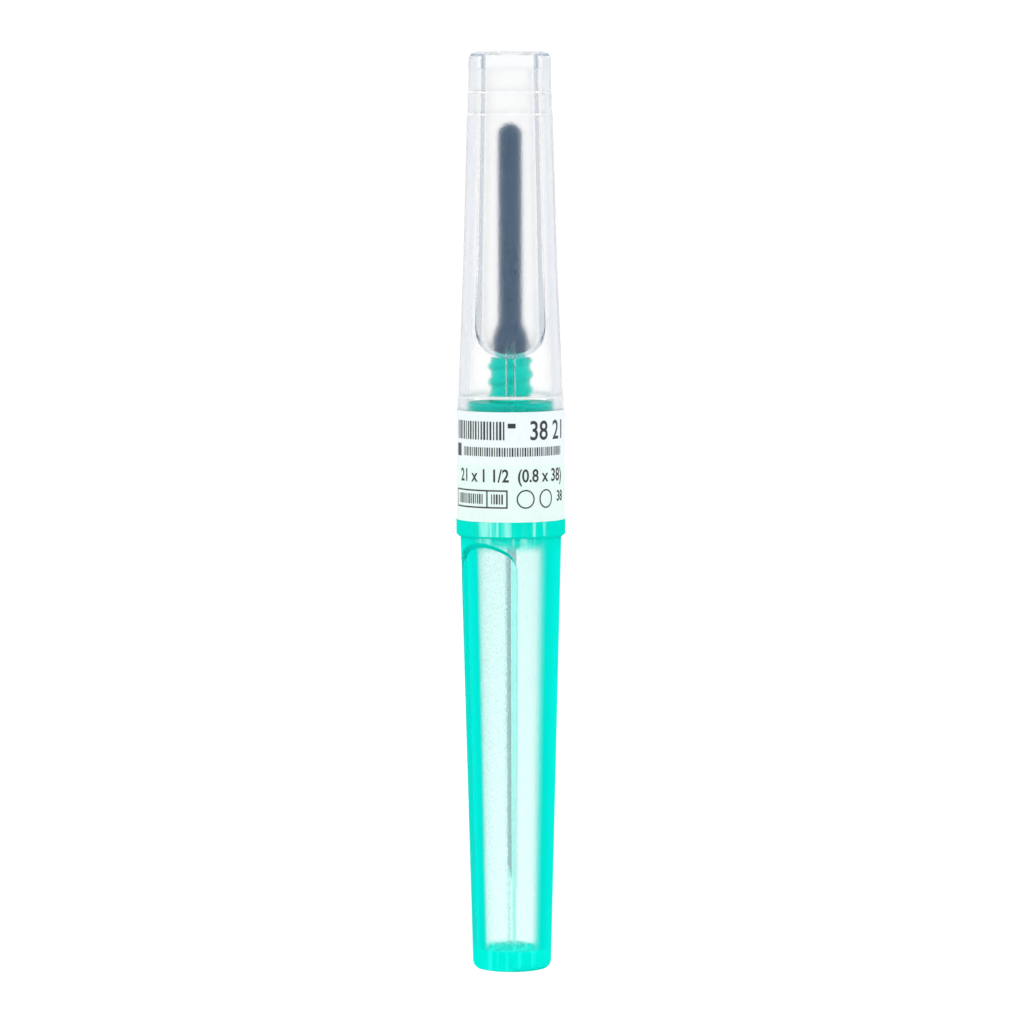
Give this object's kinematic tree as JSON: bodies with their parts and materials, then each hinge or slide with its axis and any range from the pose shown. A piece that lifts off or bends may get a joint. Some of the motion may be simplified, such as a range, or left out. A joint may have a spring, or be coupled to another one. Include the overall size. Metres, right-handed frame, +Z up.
{
  "type": "blood collection needle",
  "caption": "Slender double-ended blood collection needle in sealed caps: mint needle shield, threaded hub, rubber sleeve and a clear rear cap, joined by a paper seal band.",
  "frame": {"origin": "centre of the needle shield's closed foot, on the surface that the part stands on", "axes": "+Z up along the needle's axis from the foot to the clear cap's closed end, -Y towards the front, where the clear cap's grip panel faces"},
  "size_m": [0.0104, 0.0104, 0.088],
  "materials": {
    "shield_plastic": "translucent mint green moulded polypropylene",
    "clear_plastic": "natural translucent moulded polypropylene",
    "hub_plastic": "teal moulded plastic",
    "stainless_tube": "drawn and ground stainless tube",
    "grey_rubber": "matt slate grey rubber",
    "adhesive": "clear cured adhesive",
    "label_paper": "smooth printed paper"
  },
  "bodies": {
    "needle_shield": {"needle_shield": "shield_plastic", "label_front_half": "label_paper"},
    "needle_unit": {"hub": "hub_plastic", "cannula": "stainless_tube", "rubber_sleeve": "grey_rubber", "hub_adhesive": "adhesive"},
    "rear_cap": {"rear_cap": "clear_plastic", "label_rear_half": "label_paper"}
  },
  "joints": [
    {"name": "needle_pull", "type": "slide", "parent": "needle_shield", "child": "needle_unit", "axis": [0, 0, 1], "range_m": [0, 0.05]},
    {"name": "rear_cap_pull", "type": "slide", "parent": "needle_unit", "child": "rear_cap", "axis": [0, 0, 1], "range_m": [0, 0.036]}
  ]
}
